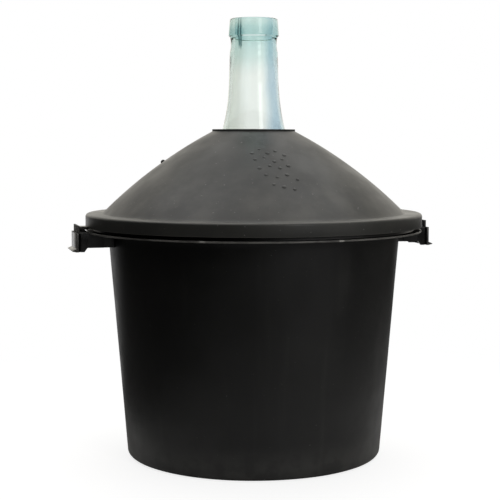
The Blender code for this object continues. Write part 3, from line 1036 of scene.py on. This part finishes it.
def bottle_body(tub, cover):
    """Outer line from the shoulder down to the base and in to the base's centre."""
    shoulder = bottle_shoulder(cover)
    shoulder_way = direction(shoulder[-2], shoulder[-1])
    base = BOTTLE_LOW.z
    belly_level = tub.top - BELLY_DROP
    belly = (tub_radius(tub, belly_level) - tub.wall - BELLY_GAP, belly_level)
    heel_corner = (tub_radius(tub, base) - tub.wall - BELLY_GAP, base)
    wall_way = direction(belly, heel_corner)
    heel = corner_round(belly, heel_corner, (0.0, base), HEEL_ROUND, BODY_STEPS)
    return [
        *shoulder[:-1],
        *blend_line(shoulder[-1], shoulder_way, belly, wall_way, BODY_STEPS),
        *between(belly, heel[0], BODY_STEPS),
        *heel,
        *dome(heel[-1][0] - STAND_WIDTH, base, PUNT_HEIGHT, PUNT_STEPS),
    ]


def bottle_outline(size, tub, cover):
    """Outline of the glass, from the inner floor's centre up, over and down to the base."""
    neck = bottle_neck(size, cover.top - LIP_HEIGHT)
    body = bottle_body(tub, cover)
    body_way = direction(body[0], body[1])
    neck_way = direction(neck[-2], neck[-1])
    root = blend_line(neck[-1], neck_way, body[0], body_way, ROOT_STEPS)
    below_neck = [*root, *body[1:]]
    hollow = inset([*neck[THROAT_END:-1], *below_neck], size.wall)
    bore = NECK_TOP_RADIUS - BORE_INSET
    bore_foot = (bore, size.top - BORE_LENGTH)
    bore_top = (bore, size.top)
    ring_top = (NECK_TOP_RADIUS + MOUTH_RING_STEP - MOUTH_RING_DRAFT, size.top)
    up = (0.0, 1.0)
    throat = blend_line(hollow[0], direction(hollow[1], hollow[0]), bore_foot, up, THROAT_STEPS)
    mouth_round = corner_round(bore_foot, bore_top, ring_top, BORE_MOUTH_ROUND)
    return [
        *reversed(hollow[1:]),
        *throat,
        *between(bore_foot, mouth_round[0], THROAT_STEPS),
        *mouth_round,
        *bottle_mouth(size),
        *neck[1:],
        *below_neck[1:],
    ]


def on_seam(point, size):
    """Whether a point lies on the outside of the neck's upper part, on one of the two mould seams."""
    place = point.co
    foot = size.top - NECK_TOP_DEPTH - SEAM_RUN
    level = foot < place.z < size.top - MOUTH_RING_ROUND
    outside = hypot(place.x, place.y) > NECK_TOP_RADIUS - BORE_INSET / 2
    seam = around(SEAM_TURN)
    turn = atan2(place.y, place.x) - atan2(seam.y, seam.x)
    off = abs((turn + pi / 2) % pi - pi / 2)
    return level and outside and off < pi / size.steps


def raise_seams(item, size):
    """Raises the two mould seams on the mouth ring and upper neck."""
    pick(item)
    bpy.ops.object.mode_set(mode="EDIT")
    select_points(item, lambda point: on_seam(point, size))
    bpy.ops.transform.shrink_fatten(value=SEAM_HEIGHT)
    bpy.ops.object.mode_set(mode="OBJECT")


def model_bottle(size, tub, cover):
    """The glass bottle with its open bore, mouth ring and mould seams."""
    bottle = turned_piece("demijohn_glass", bottle_outline(size, tub, cover), size.edge, size.steps)
    press_waves(bottle, size.waviness, BOTTLE_WAVES)
    raise_seams(bottle, size)
    return bottle


def fill(tree, node, inputs):
    """Gives inputs of a node a value or a link, and a colour its alpha."""
    for name, value in inputs.items():
        socket = node.inputs[name]
        if isinstance(value, bpy.types.NodeSocket):
            tree.links.new(value, socket)
        elif socket.type == "RGBA":
            socket.default_value = (*value, 1.0)
        else:
            socket.default_value = value


def add_node(tree, kind, settings=None, inputs=None):
    """Node of a kind with its settings, and with a value or a link for each input."""
    made = tree.nodes.new(kind)
    for name, value in (settings or {}).items():
        setattr(made, name, value)
    fill(tree, made, inputs or {})
    return made


def surface(tree, kind, inputs):
    """What a shader node of a kind gives."""
    return add_node(tree, "ShaderNode" + kind, inputs=inputs).outputs[0]


def new_material(name):
    """Material with its node tree and its Principled shader."""
    material = bpy.data.materials.new(name)
    material.use_nodes = True
    return material, material.node_tree, material.node_tree.nodes["Principled BSDF"]


def object_places(tree):
    """Object coordinates."""
    return tree.nodes.new("ShaderNodeTexCoord").outputs["Object"]


def stretched(tree, places, scale):
    """Coordinates scaled along each axis."""
    return add_node(tree, "ShaderNodeMapping", inputs={"Vector": places, "Scale": scale}).outputs[0]


def noise(tree, places, scale, detail=4.0, roughness=0.55):
    """Soft noise between 0 and 1."""
    return surface(
        tree, "TexNoise", {"Vector": places, "Scale": scale, "Detail": detail, "Roughness": roughness}
    )


def ramp(tree, value, low, high, to_low=0.0, to_high=1.0):
    """Smooth step of a value from one range to another."""
    settings = {"interpolation_type": "SMOOTHSTEP"}
    values = {"Value": value, "From Min": low, "From Max": high, "To Min": to_low, "To Max": to_high}
    return add_node(tree, "ShaderNodeMapRange", settings, values).outputs[0]


def maths(tree, operation, *values):
    """Result of a calculation."""
    return add_node(tree, "ShaderNodeMath", {"operation": operation}, dict(enumerate(values))).outputs[0]


def product(tree, *values):
    """Product of two or more values."""
    result = values[0]
    for value in values[1:]:
        result = maths(tree, "MULTIPLY", result, value)
    return result


def measured(tree, operation, *vectors):
    """Number that a calculation with vectors gives."""
    node = add_node(tree, "ShaderNodeVectorMath", {"operation": operation}, dict(enumerate(vectors)))
    return node.outputs["Value"]


def layered(tree, colour, layers, blend="MIX"):
    """Colour under layers, each a share and a tone."""
    for share, tone in layers:
        settings = {"data_type": "RGBA", "blend_type": blend}
        inputs = {"Factor": share, MIX_INPUTS[0]: colour, MIX_INPUTS[1]: tone}
        colour = add_node(tree, "ShaderNodeMix", settings, inputs).outputs[MIX_OUTPUT]
    return colour


def height_and_radius(tree, places):
    """Height of a place, and its distance from the Z axis."""
    parts = add_node(tree, "ShaderNodeSeparateXYZ", inputs={"Vector": places})
    flat = surface(tree, "CombineXYZ", {axis: parts.outputs[axis] for axis in "XY"})
    return parts.outputs["Z"], measured(tree, "LENGTH", flat)


def facing_share(tree, way, side):
    """How far a direction points to one side, from -1 to 1, or how far a place lies to it."""
    return measured(tree, "DOT_PRODUCT", way, side)


def near_spot(tree, places, spot, inner, outer):
    """1 within the inner distance of a spot, falling to 0 at the outer."""
    return ramp(tree, measured(tree, "DISTANCE", places, spot), inner, outer, 1.0, 0.0)


def textured(tree, places, name, base=0.0):
    """Share that a named noise gives, above a base."""
    scale, detail, roughness, low, high, to_low, to_high = NOISES[name]
    soft = noise(tree, places, scale, detail, roughness)
    return ramp(tree, soft, low, high, base + to_low, base + to_high)


def painted_areas(tree, areas, measures, bases):
    """Share of each named area, the product of its limits."""
    shares = {}
    for name, limits in areas.items():
        ramps = []
        for measure, base, low, high, *ends in limits:
            start = bases.get(base, 0.0)
            ramps.append(ramp(tree, measures[measure], start + low, start + high, *ends))
        shares[name] = product(tree, *ramps)
    return shares


def bump(tree, height, depth, strength, under=None):
    """Normal that a height bumps, over the normal under it."""
    inputs = {"Height": height, "Distance": depth, "Strength": strength}
    if under:
        inputs["Normal"] = under
    return surface(tree, "Bump", inputs)


def finish_plastic(tree, shader, places, colour, gloss, grain):
    """Gives a plastic its colour, roughness, fine moulded grain and slow orange peel."""
    peel = bump(tree, noise(tree, places, *PEEL_NOISE), PEEL_DEPTH, PEEL_STRENGTH)
    fine = bump(tree, noise(tree, places, *GRAIN_NOISE), grain, GRAIN_STRENGTH, peel)
    fill(tree, shader, {"Base Color": colour, "Roughness": gloss, "Normal": fine})


def tub_plastic(size):
    """Near-black moulded plastic, streaked down its wall, with painted shade under the flange, scuffs and
    painted highlights on the flange's edge and lugs, painted glints on the flange, and at its foot scuffs
    with a painted reflection of the floor.
    """
    material, tree, shader = new_material("tub_plastic_worn")
    places = object_places(tree)
    height, far = height_and_radius(tree, places)
    lug = Lug(size)
    bases = {
        "top": size.top,
        "wall": size.radius - size.flange_width,
        "radius": size.radius,
        "reach": lug.reach,
        "tongue": lug.tongue,
    }
    area = painted_areas(tree, TUB_AREAS, {"height": height, "far": far}, bases)
    rub = textured(tree, places, "rub")
    # Painted glints on the flange's edge, at two turns
    glint_level = (size.top - FLANGE_THICKNESS / 2) * UP
    glints = [size.radius * around(turn) + glint_level for turn in GLINT_TURNS]
    layers = (
        (textured(tree, places, "mottle"), size.light),
        (textured(tree, stretched(tree, places, STREAK_STRETCH), "streaks"), size.worn),
        # Painted shadow of the flange
        (area["flange_shadow"], FLANGE_SHADOW_COLOUR),
        # Scuffs at the foot, with a painted reflection of the floor
        (product(tree, area["foot"], rub), size.worn),
        # Scuffs and a painted highlight along the flange's edge
        (product(tree, area["edge"], rub), size.worn),
        # Scuffs and painted light on the lugs' top plates
        (product(tree, area["plate"], PLATE_WEAR_AND_LIGHT), size.worn),
        # Painted reflections on the lugs' outer plates and tongues
        (maths(tree, "MAXIMUM", area["outer_face_reflection"], area["tongue_face_reflection"]), size.worn),
        *[(near_spot(tree, places, glint, *GLINT_REACH), GLINT_COLOUR) for glint in glints],
        (textured(tree, places, "specks"), size.worn),
    )
    gloss = textured(tree, places, "gloss", size.roughness)
    gloss = maths(tree, "SUBTRACT", gloss, product(tree, area["lug"], HANDLED_GLOSS))
    gloss = maths(tree, "ADD", gloss, product(tree, area["plate"], PLATE_DULLNESS))
    finish_plastic(tree, shader, places, layered(tree, size.dark, layers), gloss, TUB_GRAIN)
    return material


def cover_plastic(size):
    """Black moulded plastic, dusted and scuffed to grey on its upper faces with painted light from above,
    with painted shade on its other faces, upper cone and lip, and painted highlights along its rim and
    skirt's foot.
    """
    material, tree, shader = new_material("cover_plastic_dusty")
    coordinates = tree.nodes.new("ShaderNodeTexCoord")
    places = coordinates.outputs["Object"]
    facing = add_node(tree, "ShaderNodeSeparateXYZ", inputs={"Vector": coordinates.outputs["Normal"]})
    height, far = height_and_radius(tree, places)
    measures = {"height": height, "far": far, "up": facing.outputs["Z"]}
    bases = {
        "lip": size.top - LIP_HEIGHT,
        "radius": size.radius,
        "skirt": size.skirt_bottom,
        "ledge": size.skirt_bottom + size.skirt_height,
    }
    area = painted_areas(tree, COVER_AREAS, measures, bases)
    spot = point_on_cone(size, SMUDGE_TURN, round(SMUDGE_SHARE * CONE_STEPS))
    rubbed = near_spot(tree, places, spot, *SMUDGE_REACH)
    layers = (
        (textured(tree, places, "cover_mottle"), size.light),
        # Painted shade on faces that don't look up
        (area["underside"], size.smudge),
        # Dust and painted light on faces that look up
        (product(tree, area["dust"], textured(tree, places, "drift")), size.dust),
        # Painted shade on the upper cone
        (area["upper"], size.smudge),
        # Painted shade on the lip round the neck hole
        (area["lip"], size.smudge),
        # Painted highlights along the skirt's foot and the rim's top edge
        (area["skirt_foot"], size.dust),
        (area["skirt_rim"], size.dust),
        (product(tree, rubbed, textured(tree, places, "breaks")), size.smudge),
        (textured(tree, places, "cover_specks"), SPECK_COLOUR),
    )
    gloss = textured(tree, places, "cover_gloss", size.roughness)
    gloss = maths(tree, "ADD", gloss, product(tree, area["lip"], LIP_DULLNESS))
    fill(tree, shader, {"Specular IOR Level": COVER_SPECULAR})
    finish_plastic(tree, shader, places, layered(tree, size.dark, layers), gloss, COVER_GRAIN)
    return material


def glass_colour_and_painted_light(tree, places, size):
    """Colour of the glass: deeper in the mouth, with a painted grey reflection on the left, a painted blue
    reflection on the right and painted shade along the seams.
    """
    height, _ = height_and_radius(tree, places)
    cloudy = noise(tree, stretched(tree, places, STAIN_STRETCH), *STAIN_NOISE)
    drift = product(tree, maths(tree, "SUBTRACT", cloudy, 0.5), STAIN_DRIFT)
    measures = {
        "height": height,
        "level": maths(tree, "ADD", height, drift),
        "side": maths(tree, "ADD", facing_share(tree, places, RIGHT_OF_CAMERA), drift),
        "off": maths(tree, "ABSOLUTE", facing_share(tree, places, around(SEAM_TURN + 90.0))),
        "front": facing_share(tree, places, around(SEAM_TURN)),
    }
    bases = {"top": size.top, "ring_foot": size.top - MOUTH_RING_HEIGHT}
    area = painted_areas(tree, GLASS_AREAS, measures, bases)
    ring = product(tree, area["ring"], maths(tree, "MAXIMUM", area["ring_left"], area["ring_right"]))
    colour = layered(tree, CLEAR_STAIN, [(area["mouth"], size.mouth_stain)])
    stains = (
        # Painted grey reflection on the left and painted blue reflection on the right
        (area["left"], size.left_stain),
        (area["right"], size.right_stain),
        (ring, size.ring_stain),
        # Painted shade along the mould seams
        (area["seam"], size.seam_stain),
    )
    return layered(tree, colour, stains, "MULTIPLY")


def bottle_glass(size):
    """Clear glass with a pale blue-green body tint."""
    material, tree, shader = new_material("bottle_glass_tinted")
    fill(tree, shader, {"Transmission Weight": 1.0, "IOR": GLASS_IOR, "Roughness": size.roughness})
    places = object_places(tree)
    waves = noise(tree, stretched(tree, places, WAVE_STRETCH), *WAVE_NOISE)
    skin = bump(tree, waves, WAVE_DEPTH, WAVE_STRENGTH)
    fill(tree, shader, {"Base Color": glass_colour_and_painted_light(tree, places, size), "Normal": skin})
    tint = surface(tree, "VolumeAbsorption", {"Color": size.tint, "Density": size.depth})
    fill(tree, tree.nodes["Material Output"], {"Volume": tint})
    return material


def floor_return(tree, area, size):
    """Tone of the floor in the light that it sends back to the object."""
    layers = (("near", size.floor_return), ("left", size.left_return), ("far", size.far_return))
    return layered(tree, (size.foot_return,) * 3, [(area[name], (level,) * 3) for name, level in layers])


def floor_material(size):
    """Floor that is white to the camera but for the object's soft shadow, and dim to the object."""
    material, tree, shader = new_material("pale_floor")
    tree.nodes.remove(shader)
    places = object_places(tree)
    _, far = height_and_radius(tree, places)
    measures = {
        "far": far,
        "side": facing_share(tree, places, RIGHT_OF_CAMERA),
        "behind": maths(tree, "DIVIDE", facing_share(tree, places, GLEAM_WAY), far),
    }
    area = painted_areas(tree, FLOOR_AREAS, measures, {})
    ray = tree.nodes.new("ShaderNodeLightPath").outputs
    seen = surface(tree, "BsdfDiffuse", {"Color": (size.floor_tone,) * 3})
    glow = surface(tree, "Emission", {"Strength": size.floor_glow})
    near = surface(tree, "AddShader", {0: seen, 1: glow})
    white = surface(tree, "Emission", {"Strength": 1.0})
    quiet = surface(tree, "BsdfDiffuse", {"Color": floor_return(tree, area, size)})
    gleam = product(tree, area["gleam"], size.gleam, ray["Is Glossy Ray"])
    sweep = surface(tree, "Emission", {"Strength": gleam})
    unseen = surface(tree, "AddShader", {0: quiet, 1: sweep})
    reach = maths(tree, "MAXIMUM", area["white"], ray["Is Transmission Ray"])
    pale = surface(tree, "MixShader", {0: reach, 1: near, 2: white})
    shown = maths(tree, "MAXIMUM", ray["Is Camera Ray"], ray["Is Transmission Ray"])
    both = surface(tree, "MixShader", {0: shown, 1: unseen, 2: pale})
    fill(tree, tree.nodes["Material Output"], {"Surface": both})
    return material


def lay_floor(size):
    """Wide plain floor under the object."""
    clear_selection()
    bpy.ops.mesh.primitive_grid_add(
        x_subdivisions=FLOOR_CELLS, y_subdivisions=FLOOR_CELLS, size=size.floor_size
    )
    floor = bpy.context.object
    floor.name = "floor"
    floor.data.materials.append(floor_material(size))


def light_room(size):
    """World that is white behind the object, and dark on the camera's side for what the object mirrors."""
    world = bpy.data.worlds.new("studio")
    bpy.context.scene.world = world
    world.use_nodes = True
    tree = world.node_tree
    way = tree.nodes.new("ShaderNodeTexCoord").outputs["Generated"]
    away, right, up = (facing_share(tree, way, side) for side in (AWAY_FROM_CAMERA, RIGHT_OF_CAMERA, UP))
    low = ramp(tree, up, *LOW_SKY, LEFT_NARROWING, 0.0)
    leftwards = product(tree, maths(tree, "MINIMUM", right, 0.0), low)
    rightwards = product(tree, maths(tree, "MAXIMUM", right, 0.0), RIGHT_NARROWING)
    narrowed = maths(tree, "ADD", maths(tree, "ADD", away, leftwards), rightwards)
    backdrop = ramp(tree, narrowed, *BACKDROP, size.room, 1.0)
    mirrored = maths(tree, "MAXIMUM", backdrop, ramp(tree, right, *RIGHT_SKY, 0.0, size.right_wall))
    ray = tree.nodes.new("ShaderNodeLightPath").outputs
    beyond = ramp(tree, away, *BEYOND_GLASS, size.through_glass, 1.0)
    shown = maths(tree, "MAXIMUM", ray["Is Camera Ray"], product(tree, ray["Is Transmission Ray"], beyond))
    strength = maths(tree, "MAXIMUM", mirrored, shown)
    warm = maths(tree, "SUBTRACT", 1.0, shown)
    colour = layered(tree, (1.0, 1.0, 1.0), [(warm, MIRRORED_WHITE)])
    fill(tree, tree.nodes["Background"], {"Strength": strength, "Color": colour})


def hang_lamp(name, place, target, width, height, power):
    """Soft lamp at a place, turned to a target, that the camera doesn't see."""
    clear_selection()
    bpy.ops.object.light_add(type="AREA", location=place)
    lamp = bpy.context.object
    lamp.name = name
    lamp.data.shape = "RECTANGLE"
    lamp.data.size = width
    lamp.data.size_y = height
    lamp.data.energy = power
    lamp.rotation_euler = (Vector(target) - Vector(place)).to_track_quat("-Z", "Y").to_euler()
    lamp.visible_camera = False


def set_camera(size):
    """Camera at the photograph's place and angle."""
    clear_selection()
    bpy.ops.object.camera_add(location=CAMERA_PLACE, rotation=CAMERA_TURN)
    camera = bpy.context.object
    camera.name = "photo_camera"
    camera.data.sensor_width = CAMERA_SENSOR
    camera.data.lens = size.lens
    bpy.context.scene.camera = camera


class DEMIJOHN_OT_tub(bpy.types.Operator):
    """Model the tub with its carrying lugs, in scuffed black plastic with painted light and shade"""
    bl_idname = "demijohn.tub"
    bl_label = "Tub"

    def execute(self, context):
        size = context.scene.demijohn_tub
        dress(model_tub(size), tub_plastic(size), "tub")
        return {"FINISHED"}


class DEMIJOHN_OT_cover(bpy.types.Operator):
    """Model the conical cover with its skirt and ears, in dusty black plastic with painted light and shade
    """
    bl_idname = "demijohn.cover"
    bl_label = "Cover"

    def execute(self, context):
        size = context.scene.demijohn_cover
        dress(model_cover(size), cover_plastic(size), "cover")
        return {"FINISHED"}


class DEMIJOHN_OT_bottle(bpy.types.Operator):
    """Model the glass bottle with its neck and mouth ring"""
    bl_idname = "demijohn.bottle"
    bl_label = "Bottle"

    def execute(self, context):
        scene = context.scene
        size = scene.demijohn_bottle
        bottle = model_bottle(size, scene.demijohn_tub, scene.demijohn_cover)
        dress(bottle, bottle_glass(size), "bottle")
        return {"FINISHED"}


class DEMIJOHN_OT_stage(bpy.types.Operator):
    """Lay the floor, light the object and set the camera"""
    bl_idname = "demijohn.stage"
    bl_label = "Stage"

    def execute(self, context):
        size = context.scene.demijohn_stage
        lay_floor(size)
        light_room(size)
        for name, place, target, width, height, power in LAMPS:
            hang_lamp(name, place, target, width, height, getattr(size, power))
        set_camera(size)
        context.scene.view_settings.view_transform = "Standard"
        return {"FINISHED"}


class DEMIJOHN_PT_panel(bpy.types.Panel):
    """Sidebar panel that lists the demijohn's pieces and their settings"""
    bl_idname = "DEMIJOHN_PT_panel"
    bl_label = "Demijohn"
    bl_space_type = "VIEW_3D"
    bl_region_type = "UI"
    bl_category = "Demijohn"

    def draw(self, context):
        for piece in SETTINGS:
            box = self.layout.box()
            box.operator("demijohn." + piece)
            group = getattr(context.scene, "demijohn_" + piece)
            for name in group.__annotations__:
                box.prop(group, name)


# Property groups of the operators
SETTINGS = {
    "tub": TubSettings,
    "cover": CoverSettings,
    "bottle": GlassSettings,
    "stage": StageSettings,
}
CLASSES = (
    *SETTINGS.values(),
    DEMIJOHN_OT_tub,
    DEMIJOHN_OT_cover,
    DEMIJOHN_OT_bottle,
    DEMIJOHN_OT_stage,
    DEMIJOHN_PT_panel,
)


def register():
    """Registers the classes and hangs the settings on the scene."""
    for item in CLASSES:
        bpy.utils.register_class(item)
    for piece, group in SETTINGS.items():
        setattr(bpy.types.Scene, "demijohn_" + piece, PointerProperty(type=group))


def unregister():
    """Takes the settings off the scene and the classes out again."""
    for piece in SETTINGS:
        delattr(bpy.types.Scene, "demijohn_" + piece)
    for item in reversed(CLASSES):
        bpy.utils.unregister_class(item)


def main():
    """Builds the demijohn and its stage, in order."""
    register()
    bpy.ops.demijohn.tub()
    bpy.ops.demijohn.cover()
    bpy.ops.demijohn.bottle()
    bpy.ops.demijohn.stage()


if __name__ == "__main__":
    main()
